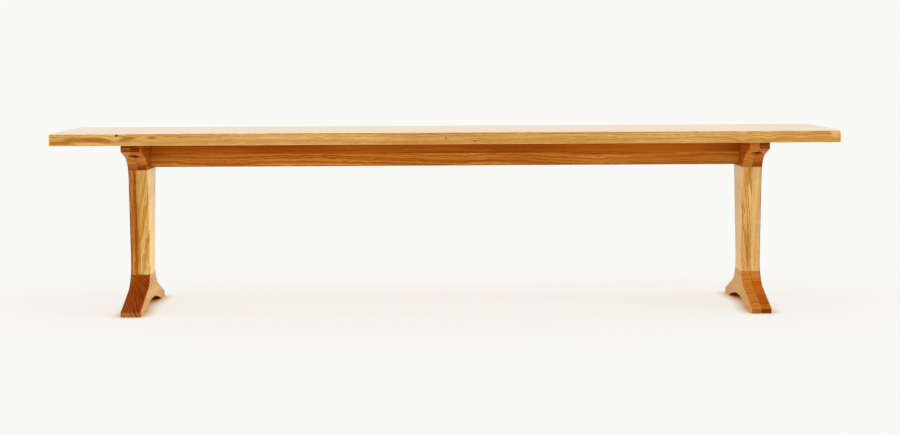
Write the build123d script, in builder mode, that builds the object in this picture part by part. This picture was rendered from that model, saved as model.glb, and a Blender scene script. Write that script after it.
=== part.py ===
from build123d import *
import os

# Long oak bench for a dining table: a plank seat on two I-shaped trestle ends, tied together by
# one rail under the seat. X runs along the seat, Y from front to back and Z up, and the origin
# is on the floor below the middle of the seat. Each foot, post and bearer is glued up from two
# boards, an outer and an inner lamina, and the three of them share one swept side outline.

# Whole bench
bench_length = 1940.0
bench_height = 450.0

# Seat, edge-glued from equal boards
seat_width = 350.0
seat_thickness = 30.0
seat_board_count = 3
seat_corner_radius = 5.0
seat_arris_radius = 2.0

# Trestles
trestle_inset = 172.0
lamina_thickness = 24.5
arris_width = 1.3

# Foot: it rests on a pad at each end and is arched between them
foot_length = 360.0
foot_height = 85.5
foot_knee_height = 66.5
foot_flare_radius = 66.0
toe_height = 13.5
toe_radius = 4.0
arch_span = 248.0
arch_height = 21.0

# Bearer, under the seat
bearer_length = 314.0
bearer_height = 67.5
bearer_knee_drop = 45.7
bearer_flare_radius = 63.0
bearer_end_height = 17.0
bearer_tip_radius = 3.0

# Post: the width of its straight taper at either shoulder
post_width_at_foot = 64.0
post_width_at_bearer = 117.0

# Post tenons: one into the foot, a pair into the bearer
post_tenon_thickness = 16.0
foot_tenon_width = 32.0
foot_tenon_length = 45.0
bearer_tenon_width = 28.0
bearer_tenon_spacing = 66.0
bearer_tenon_length = 40.0
tenon_side_gap = 0.2
tenon_end_gap = 1.0

# Rail, glued up from an upper and a lower strip, with a stub tenon at each end
rail_thickness = 23.5
rail_height = 63.5
rail_glue_line_drop = 32.0
rail_arris_width = 1.3
rail_tenon_thickness = 12.0
rail_tenon_drop = 10.0
rail_tenon_height = 44.0
rail_tenon_end_gap = 0.5

# Screws that hold the seat, each in a slot that lets the wide seat swell and shrink
screw_spacing = 228.0
screw_grip = 15.0
counterbore_diameter = 27.0
slot_length = 13.0
slot_width = 7.0
washer_diameter = 18.0
washer_bore = 6.5
washer_thickness = 1.6
screw_diameter = 5.5
screw_length = 35.0
screw_tip_length = 6.0
screw_tip_diameter = 1.0
screw_head_diameter = 12.0
screw_head_height = 3.6
screw_head_bevel = 1.8
recess_length = 6.0
recess_width = 1.3
recess_depth = 1.6
pilot_side_gap = 0.15
pilot_end_gap = 2.0

# Levels and places that follow from the sizes
under_seat = bench_height - seat_thickness
bearer_shoulder = under_seat - bearer_height
bearer_knee_height = under_seat - bearer_knee_drop
bearer_end_level = under_seat - bearer_end_height
rail_bottom = under_seat - rail_height
rail_glue_line = under_seat - rail_glue_line_drop
rail_tenon_top = under_seat - rail_tenon_drop
rail_tenon_bottom = rail_tenon_top - rail_tenon_height
trestle_x = bench_length / 2 - trestle_inset - lamina_thickness
inner_cheek_x = trestle_x - lamina_thickness
counterbore_floor = under_seat - screw_grip
screw_seat_level = counterbore_floor - washer_thickness
pilot_depth = screw_seat_level + screw_length - under_seat + pilot_end_gap
seat_board_width = seat_width / seat_board_count
half_tenon_thickness = post_tenon_thickness / 2

SIDES = {"left": -1, "right": 1}
LAMINAE = {"outer": 1, "inner": -1}


def save(piece, name):
    """Label a finished piece and write it as a STEP file of that name."""
    piece.part.label = name
    export_step(piece.part, f"parts/{name}.step")


def post_half_width(height):
    """Half the width of the post's straight taper at a height, drawn on past its shoulders."""
    share = (height - foot_height) / (bearer_shoulder - foot_height)
    return (post_width_at_foot + share * (post_width_at_bearer - post_width_at_foot)) / 2


def trestle_side(low, high):
    """The part of the trestle's side outline that lies between two heights, as a sketch.

    The outline rises from the toe along a straight slope, sweeps into the tapered post through
    one arc, and out of it through another into the sloping underside of the bearer. The corners
    between those straight stretches, the knees, lie on the post's side.
    """
    toe = (foot_length / 2, toe_height)
    foot_knee = (post_half_width(foot_knee_height), foot_knee_height)
    bearer_knee = (post_half_width(bearer_knee_height), bearer_knee_height)
    bearer_tip = (bearer_length / 2, bearer_end_level)
    with BuildSketch() as outline:
        with BuildLine():
            FilletPolyline(
                (foot_length / 2, 0),
                toe,
                foot_knee,
                bearer_knee,
                bearer_tip,
                (bearer_length / 2, under_seat),
                radius=[toe_radius, foot_flare_radius, bearer_flare_radius, bearer_tip_radius],
            )
            Polyline((bearer_length / 2, under_seat), (0, under_seat), (0, 0), (foot_length / 2, 0))
        make_face()
        mirror(about=Plane.YZ)
        with Locations((0, (low + high) / 2)):
            Rectangle(foot_length, high - low, mode=Mode.INTERSECT)
    return outline.sketch


def ease_cheek(piece, away):
    """Take the sharp arrises off a lamina's free cheek, but not where it meets another member."""
    cheek = piece.faces().sort_by(Axis.X)[-1 if away > 0 else 0]
    chamfer(cheek.edges().filter_by(Axis.Y, reverse=True), arris_width)


def mortise(tenon_thickness, tenon_width):
    """Mouth of the mortise for a tenon, as a sketch."""
    with BuildSketch() as mouth:
        Rectangle(tenon_thickness + 2 * tenon_side_gap, tenon_width + 2 * tenon_side_gap)
    return mouth.sketch


def screw_places(side):
    """The two places, in plan, of a trestle's seat screws."""
    return [(side * trestle_x, end * screw_spacing / 2) for end in (-1, 1)]


os.makedirs("parts", exist_ok=True)

# Seat boards: bands of one slab, whose outer arrises and corners are rounded as a whole
for index, place in enumerate(("front", "middle", "rear")):
    with BuildPart() as seat_board:
        with BuildSketch(Plane.XY.offset(under_seat)):
            RectangleRounded(bench_length, seat_width, seat_corner_radius)
        extrude(amount=seat_thickness)
        fillet(seat_board.faces().filter_by(Axis.Z).edges(), seat_arris_radius)
        with BuildSketch(Plane.XY.offset(under_seat)):
            with Locations((0, (index + 0.5) * seat_board_width - seat_width / 2)):
                Rectangle(bench_length, seat_board_width)
        extrude(amount=seat_thickness, mode=Mode.INTERSECT)
        with BuildSketch(Plane.XY.offset(under_seat)):
            with Locations(screw_places(-1) + screw_places(1)):
                Circle(screw_diameter / 2 + pilot_side_gap)
        extrude(amount=pilot_depth, mode=Mode.SUBTRACT)
    save(seat_board, f"seat_board_{place}")

# Rail: two strips, each with its share of the stub tenons
rail_strips = {"upper": (rail_glue_line, under_seat), "lower": (rail_bottom, rail_glue_line)}
for place, (strip_bottom, strip_top) in rail_strips.items():
    tenon_bottom = max(strip_bottom, rail_tenon_bottom)
    tenon_top = min(strip_top, rail_tenon_top)
    with BuildPart() as rail_strip:
        with BuildSketch(Plane.XZ):
            with Locations((0, (strip_bottom + strip_top) / 2)):
                Rectangle(2 * inner_cheek_x, strip_top - strip_bottom)
        extrude(amount=rail_thickness / 2, both=True)
        if place == "lower":
            underside = rail_strip.faces().sort_by(Axis.Z)[0]
            chamfer(underside.edges().filter_by(Axis.X), rail_arris_width)
        with BuildSketch(Plane.XZ):
            with Locations((0, (tenon_bottom + tenon_top) / 2)):
                Rectangle(2 * (trestle_x - rail_tenon_end_gap), tenon_top - tenon_bottom)
        extrude(amount=rail_tenon_thickness / 2, both=True)
    save(rail_strip, f"rail_strip_{place}")

# Side outlines of the trestle's three members, one above the other, and mouths of the mortises
foot_side = trestle_side(0, foot_height)
post_side = trestle_side(foot_height, bearer_shoulder)
bearer_side = trestle_side(bearer_shoulder, under_seat)
foot_mortise = mortise(post_tenon_thickness, foot_tenon_width)
bearer_mortise = mortise(post_tenon_thickness, bearer_tenon_width)
rail_mortise = mortise(rail_tenon_thickness, rail_tenon_height)

# Seat screw: a pan head with a cross recess, below a plain shank that ends in a point
with BuildPart() as screw:
    with BuildSketch(Plane.XZ):
        with BuildLine():
            Polyline(
                (0, -screw_head_height),
                (screw_head_diameter / 2, -screw_head_height),
                (screw_head_diameter / 2, 0),
                (screw_diameter / 2, 0),
                (screw_diameter / 2, screw_length - screw_tip_length),
                (screw_tip_diameter / 2, screw_length),
                (0, screw_length),
                close=True,
            )
        make_face()
    revolve(axis=Axis.Z)
    chamfer(screw.edges().group_by(Axis.Z)[0], screw_head_bevel)
    with BuildSketch(Plane.XY.offset(-screw_head_height)):
        Rectangle(recess_length, recess_width)
        Rectangle(recess_width, recess_length)
    extrude(amount=recess_depth, mode=Mode.SUBTRACT)

for side_name, side in SIDES.items():
    glue_x = side * trestle_x

    for lamina_name, outward in LAMINAE.items():
        away = side * outward
        tenon_x = glue_x + away * half_tenon_thickness / 2

        # Foot: the arch is cut from below, the mortise from above
        with BuildPart() as foot:
            with BuildSketch(Plane.YZ.offset(glue_x)):
                add(foot_side)
                with BuildLine():
                    ThreePointArc((-arch_span / 2, 0), (0, arch_height), (arch_span / 2, 0))
                    Line((arch_span / 2, 0), (-arch_span / 2, 0))
                make_face(mode=Mode.SUBTRACT)
            extrude(amount=away * lamina_thickness)
            ease_cheek(foot, away)
            with BuildSketch(Plane.XY.offset(foot_height)):
                with Locations((glue_x, 0)):
                    add(foot_mortise)
            extrude(amount=-foot_tenon_length - tenon_end_gap, mode=Mode.SUBTRACT)
        save(foot, f"foot_{side_name}_{lamina_name}")

        # Post: half of each tenon stands on either lamina
        with BuildPart() as post:
            with BuildSketch(Plane.YZ.offset(glue_x)):
                add(post_side)
            extrude(amount=away * lamina_thickness)
            ease_cheek(post, away)
            with BuildSketch(Plane.XY.offset(foot_height)):
                with Locations((tenon_x, 0)):
                    Rectangle(half_tenon_thickness, foot_tenon_width)
            extrude(amount=-foot_tenon_length)
            with BuildSketch(Plane.XY.offset(bearer_shoulder)):
                with Locations((tenon_x, -bearer_tenon_spacing / 2), (tenon_x, bearer_tenon_spacing / 2)):
                    Rectangle(half_tenon_thickness, bearer_tenon_width)
            extrude(amount=bearer_tenon_length)
        save(post, f"post_{side_name}_{lamina_name}")

        # Bearer: twin mortises, the screws' slots and counterbores, and the rail's mortise
        with BuildPart() as bearer:
            with BuildSketch(Plane.YZ.offset(glue_x)):
                add(bearer_side)
            extrude(amount=away * lamina_thickness)
            ease_cheek(bearer, away)
            with BuildSketch(Plane.XY.offset(bearer_shoulder)):
                with Locations((glue_x, -bearer_tenon_spacing / 2), (glue_x, bearer_tenon_spacing / 2)):
                    add(bearer_mortise)
            extrude(amount=bearer_tenon_length + tenon_end_gap, mode=Mode.SUBTRACT)
            with BuildSketch(Plane.XY.offset(counterbore_floor)):
                with Locations(screw_places(side)):
                    Circle(counterbore_diameter / 2)
            extrude(amount=bearer_shoulder - counterbore_floor, mode=Mode.SUBTRACT)
            with BuildSketch(Plane.XY.offset(under_seat)):
                with Locations(screw_places(side)):
                    SlotOverall(slot_length, slot_width, rotation=90)
            extrude(amount=-screw_grip, mode=Mode.SUBTRACT)
            if lamina_name == "inner":
                with BuildSketch(Plane.YZ.offset(glue_x)):
                    with Locations((0, (rail_tenon_bottom + rail_tenon_top) / 2)):
                        add(rail_mortise)
                extrude(amount=away * lamina_thickness, mode=Mode.SUBTRACT)
        save(bearer, f"bearer_{side_name}_{lamina_name}")

    # Seat screws of this trestle, pointing up into the seat
    with BuildPart() as seat_screws:
        with Locations(*[(x, y, screw_seat_level) for x, y in screw_places(side)]):
            add(screw.part)
    save(seat_screws, f"seat_screws_{side_name}")

    # Washers, between the screw heads and the floors of the counterbores
    with BuildPart() as seat_washers:
        with BuildSketch(Plane.XY.offset(counterbore_floor)):
            with Locations(screw_places(side)):
                Circle(washer_diameter / 2)
                Circle(washer_bore / 2, mode=Mode.SUBTRACT)
        extrude(amount=-washer_thickness)
    save(seat_washers, f"seat_washers_{side_name}")
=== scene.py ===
import logging
import math
from dataclasses import dataclass, fields, replace
from enum import Enum

import bpy
import bmesh
from mathutils import Matrix, Vector

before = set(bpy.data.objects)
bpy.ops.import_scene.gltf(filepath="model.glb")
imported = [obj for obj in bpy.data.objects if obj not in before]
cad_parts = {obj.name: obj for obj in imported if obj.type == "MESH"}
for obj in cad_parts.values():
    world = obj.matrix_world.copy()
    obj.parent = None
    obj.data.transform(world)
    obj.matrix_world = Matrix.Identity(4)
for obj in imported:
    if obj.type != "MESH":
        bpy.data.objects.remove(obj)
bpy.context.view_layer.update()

log = logging.getLogger("trestle_bench")

Output = bpy.types.NodeSocket
Outputs = bpy.types.NodeOutputs
Feed = Output | float | tuple[float, ...]
Triple = tuple[float, float, float]
Colour = tuple[float, float, float, float]

# A joint plane this far off, in metres, crosses no piece of the bench.
FAR = 9.0
ORIGIN: Triple = (0.0, 0.0, 0.0)
WHITE: Colour = (1.0, 1.0, 1.0, 1.0)


def linear(hex_colour: str) -> Colour:
    """Turn a colour written as on a paint chart into the scene's linear values.

    Args:
        hex_colour: The colour as "#RRGGBB".

    Returns:
        Red, green, blue and an alpha of 1.
    """
    parts = [int(hex_colour[i:i + 2], 16) / 255 for i in (1, 3, 5)]
    lit = [v / 12.92 if v <= 0.04045 else ((v + 0.055) / 1.055) ** 2.4 for v in parts]
    return lit[0], lit[1], lit[2], 1.0


class Side(Enum):
    """The end of the bench that a trestle stands at, with the sign of its X."""

    LEFT = -1.0
    RIGHT = 1.0

    @property
    def label(self) -> str:
        """The side as it stands in the names of pieces."""
        return self.name.lower()


class Grain(Enum):
    """The way a board's fibres run, with the turn about X, Y and Z that lays a pattern's X along them."""

    ALONG_SEAT = ((1.0, 0.0, 0.0), (0.0, 0.0, 0.0))
    FRONT_TO_BACK = ((0.0, 1.0, 0.0), (0.0, 0.0, math.pi / 2))
    UPRIGHT = ((0.0, 0.0, 1.0), (0.0, -math.pi / 2, 0.0))

    @property
    def axis(self) -> Triple:
        """The direction of the fibres."""
        return self.value[0]

    @property
    def turn(self) -> Matrix:
        """The turn that lays the pattern's X along the fibres."""
        x, y, z = self.value[1]
        return Matrix.Rotation(z, 4, "Z") @ Matrix.Rotation(y, 4, "Y") @ Matrix.Rotation(x, 4, "X")


def spread(along: float, across: float) -> Triple:
    """How many patches of a pattern lie in a metre, along the fibres and across them."""
    return along, across, across


class Graph:
    """A shader node tree with short calls for adding nodes and linking them."""

    node_spacing = 190.0

    def __init__(self, tree: bpy.types.NodeTree) -> None:
        """Take the tree that nodes are added to."""
        self.tree = tree

    @classmethod
    def of(cls, owner: bpy.types.Material | bpy.types.World) -> "Graph":
        """Start the nodes of a material or a world afresh.

        Args:
            owner: The material or the world.

        Returns:
            The graph of its empty tree.
        """
        owner.use_nodes = True
        owner.node_tree.nodes.clear()
        return cls(owner.node_tree)

    def feed(self, socket: Output, value: Feed) -> None:
        """Link a socket to an input, or set the input's own value.

        Args:
            socket: The input that is fed.
            value: A node's output, a number, or a tuple of numbers.
        """
        if isinstance(value, Output):
            self.tree.links.new(value, socket)
        else:
            socket.default_value = value

    def add(self, kind: str, feeds: dict | None = None, **settings: object) -> bpy.types.Node:
        """Add a node.

        Args:
            kind: The node's type name.
            feeds: What goes into its inputs, by name or number.
            **settings: The node's own properties.

        Returns:
            The node.
        """
        node = self.tree.nodes.new(kind)
        node.location = (len(self.tree.nodes) * self.node_spacing, 0.0)
        for name, value in settings.items():
            setattr(node, name, value)
        for key, value in (feeds or {}).items():
            self.feed(node.inputs[key], value)
        return node

    def math(self, operation: str, *values: Feed, clamp: bool = False) -> Output:
        """Work out one number from others."""
        feeds = dict(enumerate(values))
        return self.add("ShaderNodeMath", feeds, operation=operation, use_clamp=clamp).outputs[0]

    def times(self, first: Feed, second: Feed, clamp: bool = False) -> Output:
        """Multiply two numbers."""
        return self.math("MULTIPLY", first, second, clamp=clamp)

    def plus(self, first: Feed, second: Feed) -> Output:
        """Add two numbers."""
        return self.math("ADD", first, second)

    def minus(self, first: Feed, second: Feed) -> Output:
        """Take the second number from the first."""
        return self.math("SUBTRACT", first, second)

    def vector(self, operation: str, *values: Feed) -> Output:
        """Work out one vector from others."""
        feeds = dict(enumerate(values))
        return self.add("ShaderNodeVectorMath", feeds, operation=operation).outputs["Vector"]

    def scaled(self, vector: Feed, share: Feed) -> Output:
        """Multiply a vector by one number."""
        feeds = {0: vector, "Scale": share}
        return self.add("ShaderNodeVectorMath", feeds, operation="SCALE").outputs["Vector"]

    def dot(self, first: Feed, second: Feed) -> Output:
        """How far two directions agree, as their dot product."""
        feeds = {0: first, 1: second}
        return self.add("ShaderNodeVectorMath", feeds, operation="DOT_PRODUCT").outputs["Value"]

    def split(self, vector: Feed) -> Outputs:
        """Take a vector apart into X, Y and Z."""
        return self.add("ShaderNodeSeparateXYZ", {0: vector}).outputs

    def join(self, *values: Feed) -> Output:
        """Make a vector of its X, Y and Z."""
        return self.add("ShaderNodeCombineXYZ", dict(enumerate(values))).outputs[0]

    def extreme(self, operation: str, vector: Feed) -> Output:
        """The least or the greatest of a vector's X, Y and Z."""
        x, y, z = self.split(vector)
        return self.math(operation, self.math(operation, x, y), z)

    def ramp(self, value: Feed, low: Feed, high: Feed, to_low: float = 0.0, to_high: float = 1.0) -> Output:
        """Ease a value from one range to another with a smooth step.

        Args:
            value: The value that is eased.
            low: Where the step starts.
            high: Where the step ends.
            to_low: The result at and before the start.
            to_high: The result at and past the end.

        Returns:
            The output that carries the eased value.
        """
        feeds = {"Value": value, "From Min": low, "From Max": high, "To Min": to_low, "To Max": to_high}
        node = self.add("ShaderNodeMapRange", feeds, interpolation_type="SMOOTHSTEP", clamp=True)
        return node.outputs["Result"]

    def fall(self, value: Feed, low: Feed, high: Feed) -> Output:
        """Ease a value down, from 1 at the low end of a range to 0 at the high end."""
        return self.ramp(value, low, high, 1.0, 0.0)

    def blend(self, share: Feed, first: Feed, second: Feed) -> Output:
        """Mix two colours, all of the second at a share of 1. Inputs 6 and 7 are the node's colours."""
        feeds = {0: share, 6: first, 7: second}
        return self.add("ShaderNodeMix", feeds, data_type="RGBA", clamp_factor=True).outputs[2]

    def noise(
        self, vector: Feed, patches: float | Triple = 1.0, detail: float = 2.0, roughness: float = 0.5
    ) -> Outputs:
        """Read a noise in space.

        Args:
            vector: The place where it is read.
            patches: How many of its patches lie in a metre, the same all ways or along X, Y and Z.
            detail: How many finer noises are laid over the first.
            roughness: How strong the finer ones are.

        Returns:
            The noise's outputs, a number and a colour.
        """
        if isinstance(patches, tuple):
            vector, patches = self.vector("MULTIPLY", vector, patches), 1.0
        feeds = {"Vector": vector, "Scale": patches, "Detail": detail, "Roughness": roughness}
        return self.add("ShaderNodeTexNoise", feeds, noise_dimensions="3D").outputs

    def line_noise(self, along: Feed, detail: float, roughness: float = 0.5) -> Output:
        """Read a noise that runs along one line, for what differs from ring to ring."""
        feeds = {"W": along, "Scale": 1.0, "Detail": detail, "Roughness": roughness}
        return self.add("ShaderNodeTexNoise", feeds, noise_dimensions="1D").outputs[0]

    def surface(self, look: Outputs, relief: float, depth: float, plain: dict[str, float]) -> None:
        """End a material in its shader.

        Args:
            look: The outputs Color, Roughness and Height of the material's own effect.
            relief: How strongly the height shows.
            depth: How deep the height goes, in metres.
            plain: What is the same all over, by the names of the shader's own sockets.
        """
        bump = self.add("ShaderNodeBump", {"Height": look["Height"], "Strength": relief, "Distance": depth})
        feeds = {"Base Color": look["Color"], "Roughness": look["Roughness"], "Normal": bump.outputs[0]}
        shader = self.add("ShaderNodeBsdfPrincipled", feeds | plain)
        self.add("ShaderNodeOutputMaterial", {0: shader.outputs[0]})


class Kind(Enum):
    """What a socket of a node group carries."""

    NUMBER = "NodeSocketFloat"
    COLOUR = "NodeSocketColor"
    VECTOR = "NodeSocketVector"


@dataclass(frozen=True)
class Socket:
    """One named input or output of a node group, with its value where nothing feeds it."""

    name: str
    kind: Kind = Kind.NUMBER
    value: float | tuple[float, ...] = 0.0


PLACE = Socket("Vector", Kind.VECTOR, ORIGIN)
LOOK = (Socket("Color", Kind.COLOUR, WHITE), Socket("Roughness"), Socket("Height"))
FIGURE = ("Early Wood", "Late Wood", "Bands", "Drift", "Pores", "Rays", "Fibre")
OVERLAYS = ("End Share", "Across Share", "Side Share", "Worn", "Joint", "Knot", "Halo")


class Effect:
    """A node group that materials place, each with its own values. It is built once.

    A ramp of it is a named tuple: where the step starts and ends and, unless they are 0 and 1, the results
    there.
    """

    name = ""
    inputs: tuple[Socket, ...] = ()
    outputs: tuple[Socket, ...] = ()

    def __init__(self) -> None:
        """Build the group's tree with its named inputs and outputs."""
        self.tree = bpy.data.node_groups.new(self.name, "ShaderNodeTree")
        for socket in self.inputs:
            made = self.tree.interface.new_socket(socket.name, in_out="INPUT", socket_type=socket.kind.value)
            made.default_value = socket.value
        for socket in self.outputs:
            self.tree.interface.new_socket(socket.name, in_out="OUTPUT", socket_type=socket.kind.value)
        self.graph = Graph(self.tree)
        self.given = self.graph.add("NodeGroupInput").outputs
        self.graph.add("NodeGroupOutput", self.wire())

    def wire(self) -> dict[str, Feed]:
        """Add the group's own nodes.

        Returns:
            The group's outputs, by name.
        """
        raise NotImplementedError

    def place(self, graph: Graph, feeds: dict[str, Feed]) -> Outputs:
        """Put the group in a material's graph, fed by name."""
        return graph.add("ShaderNodeGroup", feeds, node_tree=self.tree, label=self.name).outputs


class KnotSwirl(Effect):
    """Grain lines that part around a knot, the dark knot itself, and patches of tone, painted light or
    painted shade.
    """

    name = "knot_swirl"
    inputs = (
        PLACE,
        Socket("Centre", Kind.VECTOR, ORIGIN),
        Socket("Reach", Kind.VECTOR, (0.05, 0.02, 0.02)),
        Socket("Across", Kind.VECTOR, (0.0, 1.0, 1.0)),
        Socket("Push"),
        Socket("Slope"),
        Socket("Tail", value=1.0),
        Socket("Core"),
        Socket("Shade"),
    )
    outputs = (PLACE, Socket("Knot"), Socket("Halo"))

    core_edge = (-0.03, 0.01)
    halo_edge = (0.16, 0.72)

    def wire(self) -> dict[str, Feed]:
        """Shrink the pattern towards the knot, so that its lines run round it, or slope it there.

        Returns:
            The group's outputs, by name.
        """
        graph, given = self.graph, self.given
        away = graph.vector("SUBTRACT", given["Vector"], given["Centre"])
        x, y, z = graph.split(graph.vector("DIVIDE", away, given["Reach"]))
        tail = graph.math("DIVIDE", graph.math("MAXIMUM", x, 0.0), given["Tail"])
        share = graph.join(graph.plus(tail, graph.math("MINIMUM", x, 0.0)), y, z)
        far = graph.dot(share, share)
        near = graph.math("EXPONENT", graph.times(far, -1.0))
        sideways = graph.vector("MULTIPLY", away, given["Across"])
        pulled = graph.scaled(sideways, graph.times(near, given["Push"]))
        fibre = graph.vector("SUBTRACT", (1.0, 1.0, 1.0), given["Across"])
        rise = graph.times(graph.times(near, given["Slope"]), graph.dot(away, fibre))
        shift = graph.vector("ADD", pulled, graph.scaled(given["Across"], rise))
        inside = graph.minus(given["Core"], graph.math("SQRT", far))
        return {
            "Vector": graph.vector("SUBTRACT", given["Vector"], shift),
            "Knot": graph.ramp(inside, *self.core_edge),
            "Halo": graph.times(graph.ramp(near, *self.halo_edge), given["Shade"]),
        }


class OakFigure(Effect):
    """Oak as it grows: rings around a pith, open pores in the early wood, rays and fibres.

    The pattern's X runs along the pith. Everything is a field in space, so it cuts right on every face. A
    ring runs from 0 to 1, with open early wood first and dense late wood after it.
    """

    name = "oak_figure"
    inputs = (
        PLACE,
        Socket("Ring Width", value=0.003),
        Socket("Waviness", value=0.004),
        Socket("Ripple", value=0.0008),
        Socket("Seed"),
    )
    outputs = tuple(Socket(mask) for mask in FIGURE)

    seed_step = (0.37, 1.31, 2.17)
    ring_seed_step = 13.7
    ring_unevenness = 1.6
    wide_patches_per_ring = 0.45
    bands_per_ring = 0.31
    strengths_per_ring = 0.8
    band_wander = 3.0
    across_only = (0.0, 2.0, 2.0)
    waves = spread(3.2, 7.0)
    ripples = spread(26.0, 60.0)
    wandering = spread(1.1, 9.0)
    breaks = spread(75.0, 420.0)
    drifts = spread(4.5, 22.0)
    fibres = spread(26.0, 1100.0)
    pore_cells = spread(60.0, 1300.0)
    pore_fields = spread(60.0, 700.0)
    early_rise = (0.0, 0.08)
    early_fall = (0.16, 0.55)
    late_rise = (0.55, 0.84)
    late_fall = (0.93, 1.0)
    early_strength = (0.25, 0.72, 0.25, 1.0)
    late_strength = (0.3, 0.7, 0.2, 1.0)
    broken_strength = (0.36, 0.56, 0.35, 1.0)
    patch_edge = (0.34, 0.66)
    pore_edge = (0.30, 0.52)
    pore_field_edge = (0.44, 0.6)
    pores_in_late_wood = 0.12
    ray_fan = (38.0, 95.0, 22.0)
    ray_edge = (0.62, 0.70)

    def wire(self) -> dict[str, Feed]:
        """Bend space a little, then read rings, rays, pores and fibres from it.

        Returns:
            The group's outputs, by name.
        """
        graph, given = self.graph, self.given
        place = graph.vector("ADD", given["Vector"], graph.scaled(self.seed_step, given["Seed"]))
        waves = self.warp(place, self.waves, given["Waviness"])
        ripples = self.warp(place, self.ripples, given["Ripple"])
        bent = graph.vector("ADD", graph.vector("ADD", given["Vector"], waves), ripples)
        x, y, z = graph.split(bent)
        radius = graph.math("SQRT", graph.plus(graph.times(y, y), graph.times(z, z)))
        angle = graph.math("ARCTAN2", z, y)

        rings = self.rings(radius)
        through = graph.math("FRACT", rings)
        early = graph.times(graph.ramp(through, *self.early_rise), graph.fall(through, *self.early_fall))
        late = graph.times(graph.ramp(through, *self.late_rise), graph.fall(through, *self.late_fall))

        wander = graph.noise(place, self.wandering)[0]
        course = graph.plus(graph.times(rings, self.bands_per_ring), graph.times(wander, self.band_wander))
        bands = graph.line_noise(course, 2.0, 0.6)
        strength = graph.line_noise(graph.plus(graph.times(rings, self.strengths_per_ring), wander), 0.0)
        whole = graph.ramp(graph.noise(place, self.breaks, 1.0)[0], *self.broken_strength)
        drift = graph.noise(place, self.drifts, 3.0)[0]
        fan = graph.join(*(graph.times(part, v) for part, v in zip((x, angle, radius), self.ray_fan)))
        return {
            "Early Wood": graph.times(early, graph.times(graph.ramp(strength, *self.early_strength), whole)),
            "Late Wood": graph.times(late, graph.ramp(strength, *self.late_strength)),
            "Bands": graph.ramp(bands, *self.patch_edge),
            "Drift": graph.ramp(drift, *self.patch_edge),
            "Pores": self.pores(place, early),
            "Rays": graph.ramp(graph.noise(fan, 1.0, 1.0, 0.4)[0], *self.ray_edge),
            "Fibre": graph.noise(place, self.fibres, 2.0, 0.65)[0],
        }

    def warp(self, place: Feed, patches: Triple, amount: Feed) -> Output:
        """Bend space across the pith.

        Args:
            place: The seeded coordinates.
            patches: How many bends lie in a metre.
            amount: How far they reach, in metres.

        Returns:
            The shift.
        """
        noise = self.graph.noise(place, patches, 1.0)["Color"]
        centred = self.graph.vector("SUBTRACT", noise, (0.5, 0.5, 0.5))
        return self.graph.vector("MULTIPLY", self.graph.scaled(centred, amount), self.across_only)

    def rings(self, radius: Feed) -> Output:
        """Count the rings out from the pith, some wide and some narrow.

        Args:
            radius: The distance from the pith, in metres.

        Returns:
            The count, whole where a ring starts.
        """
        graph, given = self.graph, self.given
        even = graph.math("DIVIDE", radius, given["Ring Width"])
        seed = graph.times(given["Seed"], self.ring_seed_step)
        uneven = graph.line_noise(graph.plus(graph.times(even, self.wide_patches_per_ring), seed), 1.0)
        return graph.plus(even, graph.times(uneven, self.ring_unevenness))

    def pores(self, place: Feed, early: Feed) -> Output:
        """Open long fine cells, most of them in the early wood.

        Args:
            place: The seeded coordinates.
            early: The mask of the early wood.

        Returns:
            The mask of the pores.
        """
        graph = self.graph
        feeds = {"Vector": graph.vector("MULTIPLY", place, self.pore_cells), "Scale": 1.0}
        cells = graph.add("ShaderNodeTexVoronoi", feeds, feature="F1").outputs["Distance"]
        sparse = graph.ramp(graph.noise(place, self.pore_fields, 1.0)[0], *self.pore_field_edge)
        held = graph.times(sparse, graph.plus(early, self.pores_in_late_wood))
        return graph.times(graph.fall(cells, *self.pore_edge), held, clamp=True)


class EndGrain(Effect):
    """How far a face is cut across the fibres, from 0 on a long face to 1 on an end, and if it faces down,
    for painted shade.
    """

    name = "end_grain"
    inputs = (
        Socket("Fibre Axis", Kind.VECTOR, (1.0, 0.0, 0.0)),
        Socket("From", value=0.12),
        Socket("To", value=0.85),
    )
    outputs = (Socket("Share"), Socket("Underside"))

    facing_down = (-0.8, -0.15)

    def wire(self) -> dict[str, Feed]:
        """Compare the face's direction with the fibres' direction and with the vertical.

        Returns:
            The group's outputs, by name.
        """
        graph, given = self.graph, self.given
        normal = graph.add("ShaderNodeNewGeometry").outputs["True Normal"]
        cut = graph.math("ABSOLUTE", graph.dot(normal, given["Fibre Axis"]))
        return {
            "Share": graph.ramp(cut, given["From"], given["To"]),
            # Faces that face down: a mask for painted shade.
            "Underside": graph.fall(graph.split(normal)[2], *self.facing_down),
        }


class JointLines(Effect):
    """Hairlines where pieces meet on a set X, Y or Z, and the zone there in which no edge is worn."""

    name = "joint_lines"
    inputs = (
        PLACE,
        Socket("Planes Low", Kind.VECTOR, (FAR, FAR, FAR)),
        Socket("Planes High", Kind.VECTOR, (FAR, FAR, FAR)),
        Socket("Line Width", value=0.00035),
    )
    outputs = (Socket("Line"), Socket("Near"))

    line_edge = (0.5, 1.3)
    unworn_zone = (0.0015, 0.0035)

    def wire(self) -> dict[str, Feed]:
        """Take the distance to the nearest of the joint planes.

        Returns:
            The group's outputs, by name.
        """
        graph, given = self.graph, self.given
        low, high = (
            graph.vector("ABSOLUTE", graph.vector("SUBTRACT", given["Vector"], given[planes]))
            for planes in ("Planes Low", "Planes High")
        )
        gap = graph.extreme("MINIMUM", graph.vector("MINIMUM", low, high))
        return {
            "Line": graph.fall(graph.math("DIVIDE", gap, given["Line Width"]), *self.line_edge),
            "Near": graph.fall(gap, *self.unworn_zone),
        }


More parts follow.
